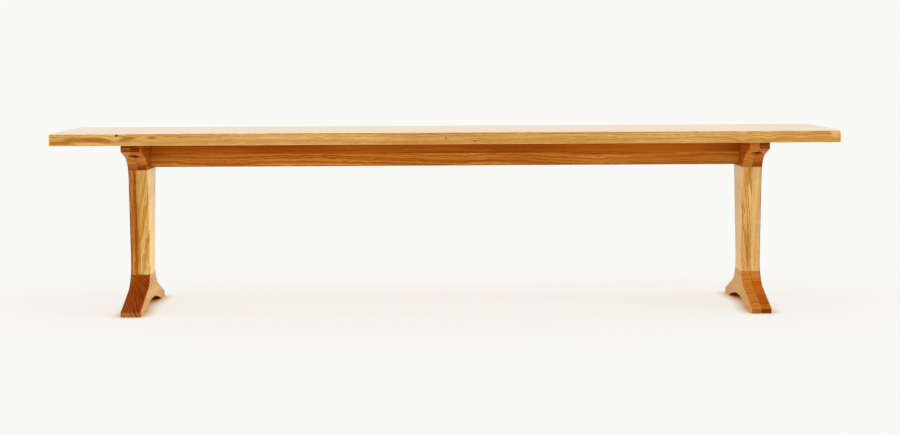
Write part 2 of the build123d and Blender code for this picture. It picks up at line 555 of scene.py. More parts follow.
class EdgeWear(Effect):
    """Arrises paler where rubbed by hands and legs and where a highlight is painted, most where they face up,
    and darkened on one side by painted shade.
    """

    name = "edge_wear"
    inputs = (
        PLACE,
        Socket("Radius", value=0.002),
        Socket("Patchiness", value=0.25),
        Socket("Chamfers"),
        Socket("Shaded Arris Side", Kind.VECTOR, ORIGIN),
    )
    outputs = (Socket("Worn"), Socket("Oiled"))

    bevel_samples = 6
    arris_angle = (0.80, 0.985)
    chamfer_angle = (0.90, 0.99)
    patches_per_metre = 34.0
    patch_edge = (0.35, 0.65)
    rubbed_from_above = (-0.3, 0.4, 0.6, 1.0)
    towards_oiled_side = (0.15, 0.5)
    off_oiled_side = (0.8, 0.95)

    def wire(self) -> dict[str, Feed]:
        """Find the edges by how far a rounded normal leaves the face's own.

        Returns:
            The group's outputs, by name.
        """
        graph, given = self.graph, self.given
        normal = graph.add("ShaderNodeNewGeometry").outputs["True Normal"]
        feeds = {"Radius": given["Radius"]}
        rounded = graph.add("ShaderNodeBevel", feeds, samples=self.bevel_samples).outputs[0]
        square = graph.extreme("MAXIMUM", graph.vector("ABSOLUTE", normal))
        slanted = graph.fall(square, *self.chamfer_angle)
        sharp = graph.fall(graph.dot(rounded, normal), *self.arris_angle)
        edge = graph.math("MAXIMUM", sharp, graph.times(slanted, given["Chamfers"]))

        patches = graph.noise(given["Vector"], self.patches_per_metre, 3.0, 0.6)[0]
        missed = graph.times(given["Patchiness"], graph.ramp(patches, *self.patch_edge))
        # Partly worn and partly a painted highlight: arrises that face up come out palest.
        facing_up = graph.ramp(graph.split(rounded)[2], *self.rubbed_from_above)
        rubbed = graph.times(graph.minus(1.0, missed), facing_up)

        # Painted shade: arrises that lean towards the shaded side are darkened (oiled) and left unworn,
        # standing in for the shade along the outline.
        leaning = graph.ramp(graph.dot(rounded, given["Shaded Arris Side"]), *self.towards_oiled_side)
        off_face = graph.fall(graph.dot(normal, given["Shaded Arris Side"]), *self.off_oiled_side)
        oiled = graph.times(graph.math("MAXIMUM", edge, slanted), graph.times(leaning, off_face))
        worn = graph.times(edge, graph.times(rubbed, graph.minus(1.0, oiled)), clamp=True)
        return {"Worn": worn, "Oiled": oiled}


@dataclass(frozen=True)
class OakTones:
    """The tones of one oiled board, as on a paint chart.

    Across is for ends cut square across the fibres, and side for the faces square to the board's side axis:
    a trestle's cheeks, or the seat's top. On the post and foot cheeks the side tone is partly painted light,
    and on the bearers' inner cheeks it is painted shade. Left empty, the board has neither. Rubbed is mostly
    a painted highlight on the seat's arrises, and the shade tone is also the painted shade on faces that face
    down. Where rubbed and shade are left empty, worn arrises take the pale tone and streaks the deep one.
    """

    pale: str
    body: str
    deep: str
    pore: str = "#5A2A08"
    end: str = "#9A5A22"
    across: str = ""
    side: str = ""
    rubbed: str = ""
    shade: str = ""

    def feeds(self) -> dict[str, Colour]:
        """Name the tones as the tone effect's inputs do.

        Returns:
            The tones by name, with another of the board's tones in place of an empty one.
        """
        spare = {"across": self.end, "side": self.pale, "rubbed": self.pale, "shade": self.deep}
        return {name.title(): linear(tone or spare[name]) for name, tone in vars(self).items()}


class OakTone(Effect):
    """The colour, gloss and relief of oiled oak from the masks of its figure."""

    name = "oak_tone"
    inputs = (
        *(Socket(mask) for mask in FIGURE + OVERLAYS),
        *(Socket(tone.name.title(), Kind.COLOUR, WHITE) for tone in fields(OakTones)),
        Socket("Contrast", value=0.6),
        Socket("Line Contrast", value=0.6),
    )
    outputs = LOOK

    fibre_shares = (0.3, 0.75, 0.0, 0.28)
    ray_share = 0.28
    late_share = 0.55
    end_shares = (0.0, 1.0, 0.95, 0.82)
    end_ring_share = 0.3
    pore_share = 0.6
    joint_share = 0.8
    rubbed_edge = (0.55, 0.75)
    sheen = (0.2, 0.8, 0.24, 0.32)
    roughening = {"Pores": 0.3, "Rays": -0.08, "End Share": 0.12}
    relief = {"Fibre": 0.25, "Pores": -0.7, "Joint": -1.0, "Early Wood": -0.2}

    def wire(self) -> dict[str, Feed]:
        """Colour the wood, and give it its gloss and relief.

        Returns:
            The group's outputs, by name.
        """
        sheen = self.graph.ramp(self.given["Fibre"], *self.sheen)
        return {
            "Color": self.colour(),
            "Roughness": self.weighed(sheen, self.roughening),
            "Height": self.weighed(0.0, self.relief),
        }

    def weighed(self, start: Feed, weights: dict[str, float]) -> Feed:
        """Add masks to a value.

        Args:
            start: The value.
            weights: How much of each mask is added, by its name.

        Returns:
            The sum.
        """
        for mask, weight in weights.items():
            start = self.graph.plus(start, self.graph.times(self.given[mask], weight))
        return start

    def colour(self) -> Output:
        """Lay the tones over each other, from the broad ones to the fine ones and then the worn arrises, with
        painted light and shade among them.

        Returns:
            The colour.
        """
        graph, given = self.graph, self.given
        pale, body, deep, pore = (given[tone] for tone in ("Pale", "Body", "Deep", "Pore"))
        late = graph.times(given["Late Wood"], given["Line Contrast"])
        end = graph.times(given["End Share"], graph.ramp(given["Drift"], *self.end_shares))
        end_rings = graph.times(given["End Share"], given["Late Wood"])
        rubbed = graph.blend(graph.ramp(given["Worn"], *self.rubbed_edge), pale, given["Rubbed"])
        layers = (
            (graph.times(given["Bands"], given["Contrast"]), deep),
            (graph.ramp(given["Fibre"], *self.fibre_shares), deep),
            (graph.times(given["Rays"], self.ray_share), pale),
            (graph.times(late, self.late_share), pale),
            (end, graph.blend(given["Across Share"], given["End"], given["Across"])),
            # Halo darkens towards the shade tone: streaks, and painted shade on faces that face down.
            (given["Halo"], given["Shade"]),
            (graph.times(end_rings, self.end_ring_share), body),
            (graph.times(given["Early Wood"], given["Line Contrast"]), graph.blend(end, deep, pore)),
            (graph.times(given["Pores"], self.pore_share), pore),
            # Side tone: on the post and foot cheeks partly painted light, on the bearers' inner cheeks
            # painted shade.
            (given["Side Share"], given["Side"]),
            # Halo below 0 lightens: the painted light at the top of the post cheeks.
            (graph.times(given["Halo"], -1.0, clamp=True), pale),
            # Worn arrises: partly worn wood and, on the seat, mostly a painted highlight.
            (given["Worn"], rubbed),
            (graph.times(given["Joint"], self.joint_share), pore),
            # The knot mask also brings the painted shade inside the screw holes and on the shaded arrises.
            (given["Knot"], pore),
        )
        colour = graph.blend(given["Drift"], body, pale)
        for share, tone in layers:
            colour = graph.blend(share, colour, tone)
        return colour


class PlatedBloom(Effect):
    """Zinc plate: a fine mottle, and brighter where an edge is rubbed."""

    name = "plated_bloom"
    inputs = (PLACE, Socket("Worn"))
    outputs = LOOK

    blue_grey = "#B9BBBA"
    straw = "#C9C4B4"
    speck = "#8E9092"
    bright = "#DCDCD8"
    broad_patches = 260.0
    fine_patches = 2600.0
    tint_edge = (0.35, 0.65)
    speck_shares = (0.4, 0.7, 0.0, 0.35)
    roughness = (0.3, 0.7, 0.30, 0.46)
    worn_gloss = 0.12

    def wire(self) -> dict[str, Feed]:
        """Mix a blue-grey and a straw tint over two sizes of mottle.

        Returns:
            The group's outputs, by name.
        """
        graph, given = self.graph, self.given
        broad = graph.noise(given["Vector"], self.broad_patches, 3.0)[0]
        fine = graph.noise(given["Vector"], self.fine_patches)[0]
        tints = linear(self.blue_grey), linear(self.straw)
        colour = graph.blend(graph.ramp(broad, *self.tint_edge), *tints)
        colour = graph.blend(graph.ramp(fine, *self.speck_shares), colour, linear(self.speck))
        colour = graph.blend(given["Worn"], colour, linear(self.bright))
        gloss = graph.times(given["Worn"], self.worn_gloss)
        rough = graph.minus(graph.ramp(broad, *self.roughness), gloss)
        return {"Color": colour, "Roughness": rough, "Height": fine}


@dataclass(frozen=True)
class Knot:
    """A knot, a swirl, a streak or a patch of painted light or shade in a board: where its middle is and how
    far it reaches, in metres.

    Push parts the grain around it and slope tilts it. Core is the dark knot's size, or the size of the
    painted shade inside a screw hole, as a share of the reach.
    Shade darkens the wood there, and lightens it below 0. Tail draws it out that many times to the right.
    """

    centre: Triple
    reach: Triple
    push: float = 0.0
    core: float = 0.0
    shade: float = 0.0
    slope: float = 0.0
    tail: float = 1.0

    def feeds(self) -> dict[str, Feed]:
        """The knot's values by the names of the swirl's inputs."""
        return {name.title(): value for name, value in vars(self).items()}


@dataclass(frozen=True)
class Cut:
    """One board's tones and its place in the log. Lengths are in metres, the lean in degrees.

    The pith is a point on the log's middle line, which leans from the board's length.
    """

    tones: OakTones
    pith: Triple
    lean: tuple[float, float]
    ring_width: float = 0.0038
    waviness: float = 0.006
    ripple: float = 0.0016
    seed: float = 0.0
    contrast: float = 0.6
    lines: float = 0.7
    coat: float = 1.0
    knots: tuple[Knot, ...] = ()

    def moved(self, glue_x: float) -> "Cut":
        """Put a trestle's cut in its place, where its pith and knots are given from the glue plane.

        Args:
            glue_x: X of the trestle's glue plane.

        Returns:
            The cut as it lies on the bench.
        """
        knots = tuple(
            replace(knot, centre=(glue_x + knot.centre[0], *knot.centre[1:])) for knot in self.knots
        )
        return replace(self, pith=(glue_x + self.pith[0], *self.pith[1:]), knots=knots)


@dataclass(frozen=True)
class OakBoard:
    """One oiled board: its node, its cut and the state of its faces, arrises and joints, in metres.

    Joints are planes of a set X, Y and Z, with FAR where there is none.
    """

    node: str
    slot: str
    grain: Grain
    cut: Cut
    end_from: float = 0.06
    end_to: float = 0.40
    across_from: float = 0.95
    across_to: float = 0.99
    # How pale the arrises go: partly worn wood and, on the seat, mostly a painted highlight.
    wear_and_highlight: float = 0.3
    arris: float = 0.002
    chamfers: float = 0.0
    side_from: float = 0.6
    side_to: float = 0.95
    side_share: float = 0.65
    side_axis: Triple = Grain.ALONG_SEAT.axis
    # Painted shade on faces that face down, such as the feet's arches.
    underside: float = 0.0
    # Painted shade on the arrises that face this side, as strong as oiled.
    shaded_arris_side: Triple = ORIGIN
    oiled: float = 0.0
    gloss_level: float = 0.0
    coat_roughness: float = 0.08
    coat_index: float = 1.1
    relief: float = 0.25
    relief_depth: float = 0.0004
    joints_low: Triple = (FAR, FAR, FAR)
    joints_high: Triple = (FAR, FAR, FAR)

    def material(self, workshop: "Workshop") -> bpy.types.Material:
        """Make this board's own material.

        Args:
            workshop: The effects that every finish shares.

        Returns:
            The material.
        """
        made = bpy.data.materials.new(f"oiled_oak_{self.node}")
        graph = Graph.of(made)
        look = workshop.oak_tone.place(graph, self.tone_feeds(workshop, graph))
        plain = {
            "Specular IOR Level": self.gloss_level,
            "Coat Weight": self.cut.coat,
            "Coat Roughness": self.coat_roughness,
            "Coat IOR": self.coat_index,
        }
        graph.surface(look, self.relief, self.relief_depth, plain)
        return made

    def tone_feeds(self, workshop: "Workshop", graph: Graph) -> dict[str, Feed]:
        """Place the board's figure, ends, joints, worn arrises and painted light and shade.

        Args:
            workshop: The effects that every finish shares.
            graph: The material's graph.

        Returns:
            What goes into the tone effect's inputs, by name.
        """
        place = graph.add("ShaderNodeTexCoord").outputs["Object"]
        swirled, knots, halo = self.swirl(workshop, graph, place)
        growth = {
            "Vector": self.lay(graph, swirled),
            "Ring Width": self.cut.ring_width,
            "Waviness": self.cut.waviness,
            "Ripple": self.cut.ripple,
            "Seed": self.cut.seed,
        }
        figure = workshop.oak_figure.place(graph, growth)
        planes = {"Vector": place, "Planes Low": self.joints_low, "Planes High": self.joints_high}
        joint = workshop.joint_lines.place(graph, planes)
        rubbing = {
            "Vector": place,
            "Radius": self.arris,
            "Chamfers": self.chamfers,
            "Shaded Arris Side": self.shaded_arris_side,
        }
        edge = workshop.edge_wear.place(graph, rubbing)
        end = workshop.facing(graph, self.grain.axis, self.end_from, self.end_to)
        feeds = {mask: figure[mask] for mask in FIGURE} | self.cut.tones.feeds() | {
            "Contrast": self.cut.contrast,
            "Line Contrast": self.cut.lines,
            "End Share": end["Share"],
            "Worn": graph.times(edge["Worn"], graph.times(graph.minus(1.0, joint["Near"]), self.wear_and_highlight)),
            "Joint": joint["Line"],
            # The knot mask also carries painted shade: on the shaded arrises and inside the screw holes.
            "Knot": graph.math("MAXIMUM", knots, graph.times(edge["Oiled"], self.oiled)),
            # Halo also carries the painted shade on faces that face down.
            "Halo": graph.plus(halo, graph.times(end["Underside"], self.underside)),
        }
        if self.cut.tones.across:
            across = workshop.facing(graph, self.grain.axis, self.across_from, self.across_to)
            feeds["Across Share"] = across["Share"]
        # The side tone: partly painted light on the post and foot cheeks, painted shade on the bearers' inner
        # cheeks.
        if self.cut.tones.side:
            side = workshop.facing(graph, self.side_axis, self.side_from, self.side_to)
            feeds["Side Share"] = graph.times(side["Share"], self.side_share)
        return feeds

    def swirl(self, workshop: "Workshop", graph: Graph, place: Output) -> tuple[Feed, Feed, Feed]:
        """Lead the grain around the board's knots.

        Args:
            workshop: The effects that every finish shares.
            graph: The material's graph.
            place: The coordinates of the surface.

        Returns:
            The swirled coordinates, the mask of the knots and the shade around them.
        """
        across = tuple(1.0 - abs(v) for v in self.grain.axis)
        swirled, knots, halo = place, 0.0, 0.0
        for knot in self.cut.knots:
            outputs = workshop.knot_swirl.place(graph, {"Vector": swirled, "Across": across} | knot.feeds())
            swirled = outputs["Vector"]
            knots = graph.math("MAXIMUM", knots, outputs["Knot"])
            halo = graph.plus(halo, outputs["Halo"])
        return swirled, knots, halo

    def lay(self, graph: Graph, place: Output) -> Output:
        """Turn coordinates so that X runs along the log's pith.

        Args:
            graph: The material's graph.
            place: The coordinates.

        Returns:
            The turned coordinates.
        """
        aside, upwards = (math.radians(v) for v in self.cut.lean)
        lean = Matrix.Rotation(aside, 4, "Z") @ Matrix.Rotation(upwards, 4, "Y")
        turn = (self.grain.turn @ lean).to_euler()
        feeds = {"Vector": place, "Location": self.cut.pith, "Rotation": tuple(turn)}
        return graph.add("ShaderNodeMapping", feeds, vector_type="TEXTURE").outputs[0]


@dataclass(frozen=True)
class ZincPlate:
    """Bright zinc plate on the seat screws and washers. Lengths in metres."""

    slot: str = "zinc_steel"
    arris: float = 0.0004
    relief: float = 0.15
    relief_depth: float = 0.00005

    def material(self, workshop: "Workshop") -> bpy.types.Material:
        """Make the plate's material.

        Args:
            workshop: The effects that every finish shares.

        Returns:
            The material.
        """
        made = bpy.data.materials.new("zinc_plate")
        graph = Graph.of(made)
        place = graph.add("ShaderNodeTexCoord").outputs["Object"]
        worn = workshop.edge_wear.place(graph, {"Vector": place, "Radius": self.arris})["Worn"]
        bloom = workshop.plated_bloom.place(graph, {"Vector": place, "Worn": worn})
        graph.surface(bloom, self.relief, self.relief_depth, {"Metallic": 1.0})
        return made


class Workshop:
    """Every shared effect, built once."""

    def __init__(self) -> None:
        """Build the node groups."""
        self.knot_swirl = KnotSwirl()
        self.oak_figure = OakFigure()
        self.end_grain = EndGrain()
        self.joint_lines = JointLines()
        self.edge_wear = EdgeWear()
        self.oak_tone = OakTone()
        self.plated_bloom = PlatedBloom()

    def facing(self, graph: Graph, axis: Triple, start: float, full: float) -> Outputs:
        """Place the mask of the faces that an axis meets, from a start to fully square."""
        return self.end_grain.place(graph, {"Fibre Axis": axis, "From": start, "To": full})

    def dress(self, board: OakBoard) -> None:
        """Give a CAD node its board's material and report it.

        Args:
            board: The board that the node is cut from.
        """
        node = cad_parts[board.node]
        node.data.materials.clear()
        node.data.materials.append(board.material(self))
        log.info("%s: oiled oak, grain %s", board.node, board.grain.name)


class Woodwork:
    """A sub-assembly that is made of boards."""

    def cuts(self) -> list[OakBoard]:
        """The boards' cuts from the log, which each sub-assembly gives."""
        raise NotImplementedError

    def build(self, workshop: Workshop) -> None:
        """Dress the boards."""
        for board in self.cuts():
            workshop.dress(board)


@dataclass
class Seat(Woodwork):
    """The slab seat, edge-glued from three boards. Sizes in metres."""

    half_width: float = 0.175
    boards: int = 3
    # The rubbed tone is near white: worn arrises and, most of all, a painted highlight along the seat's
    # arrises.
    tones: OakTones = OakTones(
        "#EEBF72", "#D9A556", "#AD6F29", end="#BA8847", rubbed="#FFF4D0", side="#F3C470",
    )

    def joint(self, index: int) -> float:
        """Y of the glue line in front of a board, counted from the front."""
        return -self.half_width + 2 * self.half_width * index / self.boards

    def front_knots(self) -> tuple[Knot, ...]:
        """Set the pin knots, swirls and streaks along the front edge.

        Returns:
            The knots of the front board.
        """
        front = -self.half_width
        return (
            Knot((-0.804, front, 0.4448), (0.040, 0.03, 0.022), push=0.8, core=0.10),
            Knot((-0.945, front, 0.4275), (0.038, 0.03, 0.0042), push=0.2, shade=0.9),
            Knot((-0.893, front, 0.4345), (0.052, 0.03, 0.0060), push=0.2, shade=0.9),
            Knot((-0.845, front, 0.4368), (0.037, 0.03, 0.0054), push=0.2, shade=0.9),
            Knot((-0.779, front, 0.4400), (0.022, 0.03, 0.0046), push=0.2, shade=0.9),
            Knot((-0.718, front, 0.4400), (0.013, 0.03, 0.0042), shade=0.8),
            Knot((-0.726, front, 0.4380), (0.018, 0.03, 0.013), push=1.3, tail=3.0),
            Knot((0.071, front, 0.4270), (0.030, 0.03, 0.010), push=0.5, core=0.08),
            Knot((0.000, front, 0.4350), (0.160, 0.03, 0.200), shade=0.15),
            Knot((0.727, front, 0.4540), (0.018, 0.03, 0.026), push=1.0),
            Knot((0.812, front, 0.4340), (0.032, 0.03, 0.030), slope=0.38),
            Knot((0.894, front, 0.4340), (0.034, 0.03, 0.030), slope=0.38),
            Knot((0.955, front, 0.4420), (0.011, 0.02, 0.010), shade=-0.65),
        )

    def cuts(self) -> list[OakBoard]:
        """Cut the three boards from the log.

        Returns:
            The boards, from front to rear.
        """
        first, second = (FAR, self.joint(1), FAR), (FAR, self.joint(2), FAR)
        front = Cut(
            self.tones, (0.0, -0.14, 0.335), (0.35, 0.25), ring_width=0.0040, waviness=0.007, ripple=0.0032,
            seed=1.3, contrast=0.62, lines=0.85, knots=self.front_knots(),
        )
        middle = Cut(
            self.tones, (0.0, 0.01, 0.36), (0.5, 0.4), ring_width=0.0036, waviness=0.009, ripple=0.0010,
            seed=4.1, lines=0.6,
        )
        rear = Cut(
            self.tones, (0.0, 0.16, 0.33), (-0.4, 0.3), ring_width=0.0042, waviness=0.008, ripple=0.0010,
            seed=7.7, lines=0.6,
        )
        # Almost every arris and chamfer of the seat is pale: partly worn, mostly a painted highlight.
        shared = {
            "wear_and_highlight": 0.95, "arris": 0.003, "chamfers": 1.0,
            "side_axis": Grain.UPRIGHT.axis, "side_share": 0.55,
        }
        places = {
            "front": (front, {"joints_low": first}),
            "middle": (middle, {"joints_low": first, "joints_high": second}),
            "rear": (rear, {"joints_low": second}),
        }
        return [
            OakBoard(f"seat_board_{name}", "oak_seat", Grain.ALONG_SEAT, cut, **joints, **shared)
            for name, (cut, joints) in places.items()
        ]


@dataclass
class Rail(Woodwork):
    """The rail under the seat, two strips glued one on the other. Sizes in metres."""

    end: float = 0.749
    patches: tuple[Knot, ...] = (
        Knot((0.02, 0.0, 0.404), (0.18, 0.2, 0.2), shade=0.18),
        Knot((0.50, 0.0, 0.404), (0.22, 0.2, 0.2), shade=-0.35),
    )
    upper: OakTones = OakTones("#D47B1B", "#C0620D", "#8E3E02", pore="#5A2400", end="#8A4A18")
    lower: OakTones = OakTones("#F5A847", "#DF8B2C", "#A7550C", pore="#662C00", end="#9A5A22")

    def cuts(self) -> list[OakBoard]:
        """Cut the two strips from the log.

        Returns:
            The upper strip and the lower one.
        """
        upper = Cut(
            self.upper, (0.0, -0.03, 0.31), (0.5, 0.2), ring_width=0.0040, waviness=0.010, ripple=0.0036,
            seed=11.2, lines=0.4, knots=self.patches,
        )
        lower = Cut(
            self.lower, (0.0, -0.05, 0.47), (0.6, 0.7), ring_width=0.0042, waviness=0.012, ripple=0.0036,
            seed=15.9, contrast=0.9, lines=0.65,
        )
        ends = {"joints_low": (-self.end, FAR, FAR), "joints_high": (self.end, FAR, FAR)}
        return [
            OakBoard("rail_strip_upper", "oak_rail", Grain.ALONG_SEAT, upper, **ends),
            # The lower strip's downward arrises get painted shade.
            OakBoard(
                "rail_strip_lower", "oak_rail", Grain.ALONG_SEAT, lower, shaded_arris_side=(0.0, 0.0, -1.0),
                oiled=0.6, **ends,
            ),
        ]


@dataclass(frozen=True)
class Member:
    """What a foot's, a post's or a bearer's two laminae share: their grain, shoulders and ends, the painted
    shade on faces that face down, and the painted shade inside the screw holes.
    """

    grain: Grain
    low: float
    high: float
    end_from: float
    end_to: float
    side_share: float = 0.65
    underside: float = 0.0
    recess_shades: tuple[Knot, ...] = ()


@dataclass
class Trestle(Woodwork):
    """One trestle end: foot, post and bearer, each of two laminae. Sizes in metres."""

    side: Side
    laminae: dict[str, Cut]
    seed: float
    seed_step: float = 1.7
    glue_plane: float = 0.7735
    foot_shoulder: float = 0.0855
    bearer_shoulder: float = 0.3525
    seat_underside: float = 0.420
    bore_y: float = 0.114
    bore_middle: float = 0.398
    bore_reach: Triple = (0.0138, 0.0138, 0.03)

    def members(self, glue_x: float) -> dict[str, Member]:
        """Set what the laminae of each member share.

        Args:
            glue_x: X of the trestle's glue plane.

        Returns:
            The members by name.
        """
        # Painted shade: the walls of the screw holes take the dark pore tone.
        bore_shades = tuple(
            Knot((glue_x, y, self.bore_middle), self.bore_reach, core=1.0)
            for y in (-self.bore_y, self.bore_y)
        )
        return {
            # The feet's faces that face down, the arches most, get painted shade.
            "foot": Member(
                Grain.FRONT_TO_BACK, FAR, self.foot_shoulder, 0.06, 0.30, side_share=0.5, underside=0.95,
            ),
            "post": Member(Grain.UPRIGHT, self.foot_shoulder, self.bearer_shoulder, 0.40, 0.95),
            "bearer": Member(
                Grain.FRONT_TO_BACK, self.bearer_shoulder, self.seat_underside, 0.55, 0.95, recess_shades=bore_shades,
            ),
        }

    def cuts(self) -> list[OakBoard]:
        """Cut the six laminae from the log.

        Returns:
            The boards, from the foot up.
        """
        glue_x = self.side.value * self.glue_plane
        members = self.members(glue_x)
        made = []
        for index, (name, lamina) in enumerate(self.laminae.items()):
            kind, layer = name.split("_")
            member = members[kind]
            cut = lamina.moved(glue_x)
            seed = self.seed + self.seed_step * index
            made.append(
                OakBoard(
                    f"{kind}_{self.side.label}_{layer}", "oak_trestle", member.grain,
                    replace(cut, seed=seed, knots=cut.knots + member.recess_shades),
                    end_from=member.end_from, end_to=member.end_to, side_share=member.side_share,
                    # Outer laminae get painted shade on their outward arrises.
                    underside=member.underside, shaded_arris_side=(self.side.value, 0.0, 0.0),
                    oiled=1.0 if layer == "outer" else 0.0,
                    joints_low=(glue_x, FAR, member.low), joints_high=(FAR, FAR, member.high),
                )
            )
        return made


# A lamina's pith and knots are given from its trestle's glue plane, along X to the right.
# On the post and foot cheeks the side tone is partly painted light.
LEFT_LAMINAE = {
    "foot_outer": Cut(
        OakTones(
            "#D88E48", "#C87C34", "#94501A", pore="#3C0E00", end="#923E02", across="#B46E36",
            shade="#6E1C00",
        ),
        (-0.12, 0.0, -0.06), (1.0, 1.5), ring_width=0.0036, waviness=0.004, lines=0.8, coat=0.3,
    ),
    "foot_inner": Cut(
        OakTones(
            "#CEA352", "#C18E3C", "#9A5F1C", pore="#3C0E00", end="#983003", across="#B0602A", side="#C6944A",
            shade="#6E1C00",
        ),
        (-0.11, 0.0, -0.06), (1.2, 1.2), ring_width=0.0040, waviness=0.004, lines=1.0, coat=0.7,
        knots=(
            Knot((0.011, -0.100, 0.050), (0.012, 0.20, 0.020), shade=0.4),
            Knot((0.023, -0.050, 0.066), (0.006, 0.08, 0.014), shade=0.6),
        ),
    ),
    "post_outer": Cut(
        OakTones("#ECAA53", "#CC8132", "#944B09", pore="#5A2600"), (-0.075, -0.045, 0.20), (1.5, 1.2),
        ring_width=0.0036, waviness=0.009, ripple=0.0040, contrast=0.9, lines=0.9,
        knots=(Knot((-0.0105, -0.05, 0.25), (0.0060, 0.2, 0.13), shade=0.55),),
    ),
    "post_inner": Cut(
        OakTones("#F8D485", "#E6B15B", "#AB6A1B", pore="#8A4A10", side="#DCC17C"), (-0.120, -0.045, 0.20),
        (1.0, 11.0), ring_width=0.0034, waviness=0.010, ripple=0.0070, contrast=0.7, lines=1.0,
        # Painted light: the top of the cheek is paler, against the shade under the seat.
        knots=(Knot((0.0245, 0.0, 0.356), (0.004, 0.2, 0.045), shade=-0.45),),
    ),
    "bearer_outer": Cut(
        OakTones("#F5AF5B", "#E59B43", "#AE661F", pore="#5A2600", end="#8E3608"), (-0.020, 0.0, 0.30),
        (1.4, 1.0), coat=0.3,
    ),
    "bearer_inner": Cut(
        # The inner cheek's side tone is painted shade, dark as under the seat.
        OakTones("#F29E42", "#E0872E", "#A75612", pore="#4A1A00", end="#7A2004", side="#822200"),
        (0.030, 0.0, 0.29), (1.2, 0.8), coat=0.1,
    ),
}
RIGHT_LAMINAE = {
    "foot_outer": Cut(
        OakTones(
            "#D08C48", "#B46424", "#84400C", pore="#4A1600", end="#CA6A0C", across="#7E380A",
            shade="#7A2600",
        ),
        (0.012, 0.0, -0.055), (1.0, 1.4), waviness=0.010, ripple=0.0030, contrast=0.9,
        lines=0.6, coat=0.5,
        knots=(
            Knot((0.010, -0.150, 0.032), (0.012, 0.05, 0.022), shade=0.33),
            Knot((0.012, -0.040, 0.085), (0.018, 0.08, 0.021), shade=-0.5),
        ),
    ),
    "foot_inner": Cut(
        OakTones(
            "#D49F46", "#C48E38", "#985D1A", pore="#6A3000", end="#CD7B2C", across="#A16535", side="#C99242",
            shade="#6E2000",
        ),
        (-0.004, 0.0, -0.070), (1.2, 1.0), waviness=0.010, ripple=0.0030, contrast=0.8,
        lines=0.55, coat=0.7,
    ),
    "post_outer": Cut(
        OakTones("#F3CC85", "#E5B76B", "#BF8B49", pore="#6A4018"), (0.085, -0.030, 0.20), (1.0, 0.5),
        ripple=0.0024, contrast=0.5, lines=0.5,
    ),
    "post_inner": Cut(
        OakTones("#FFD484", "#F3BB66", "#AA6B22", pore="#6A3800", side="#C6A059"), (0.090, -0.050, 0.20),
        (0.5, -6.0), ring_width=0.0042, waviness=0.009, ripple=0.0060, contrast=0.7, lines=1.0,
        knots=(
            Knot((-0.0085, -0.055, 0.335), (0.0050, 0.2, 0.035), shade=0.6),
            Knot((-0.0070, -0.040, 0.145), (0.0055, 0.2, 0.065), shade=0.6),
            # Painted light: the top of the cheek is paler, against the shade under the seat.
            Knot((-0.0245, 0.0, 0.356), (0.004, 0.2, 0.045), shade=-0.35),
        ),
    ),
    "bearer_outer": Cut(
        OakTones("#E58834", "#D67A2A", "#9F4E10", pore="#5A2600", end="#7E360E"), (0.030, 0.0, 0.29),
        (1.2, 0.9), coat=0.3,
    ),
    "bearer_inner": Cut(
        # The inner cheek's side tone is painted shade, dark as under the seat.
        OakTones("#E89540", "#D7822F", "#A15414", pore="#4A1A00", end="#C17632", side="#9E3300"),
        (-0.030, 0.0, 0.29), (1.0, 0.7), coat=0.1,
    ),
}


@dataclass
class SeatFixings:
    """The screws and washers that hold the seat to the bearers."""

    plate: ZincPlate = ZincPlate()

    def build(self, workshop: Workshop) -> None:
        """Dress the screws and washers of both trestles.

        Args:
            workshop: The effects that every finish shares.
        """
        finish = self.plate.material(workshop)
        for side in Side:
            for kind in ("screws", "washers"):
                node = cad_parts[f"seat_{kind}_{side.label}"]
                node.data.materials.clear()
                node.data.materials.append(finish)
                log.info("%s: zinc plate", node.name)


@dataclass(frozen=True)
class Lamp:
    """A broad soft lamp. Angles are in degrees, with azimuth 0 in front of the bench and 90 to its right."""

    name: str
    strength: float
    azimuth: float
    height: float
    spread: float = 18.0
    distance: float = 4.0

    def hang(self) -> None:
        """Put the lamp in the scene."""
        data = bpy.data.lights.new(self.name, "SUN")
        data.energy = self.strength
        data.angle = math.radians(self.spread)
        lamp = bpy.data.objects.new(self.name, data)
        azimuth, height = math.radians(self.azimuth), math.radians(self.height)
        level = math.cos(height)
        towards = Vector((math.sin(azimuth) * level, -math.cos(azimuth) * level, math.sin(height)))
        lamp.rotation_mode = "QUATERNION"
        lamp.rotation_quaternion = towards.to_track_quat("Z", "Y")
        lamp.location = towards * self.distance
        lamp.visible_glossy = False
        bpy.context.scene.collection.objects.link(lamp)

    def on_floor(self) -> float:
        """How much the lamp lights an open floor, where 1 shows a white as white."""
        return self.strength / math.pi * math.sin(math.radians(self.height))


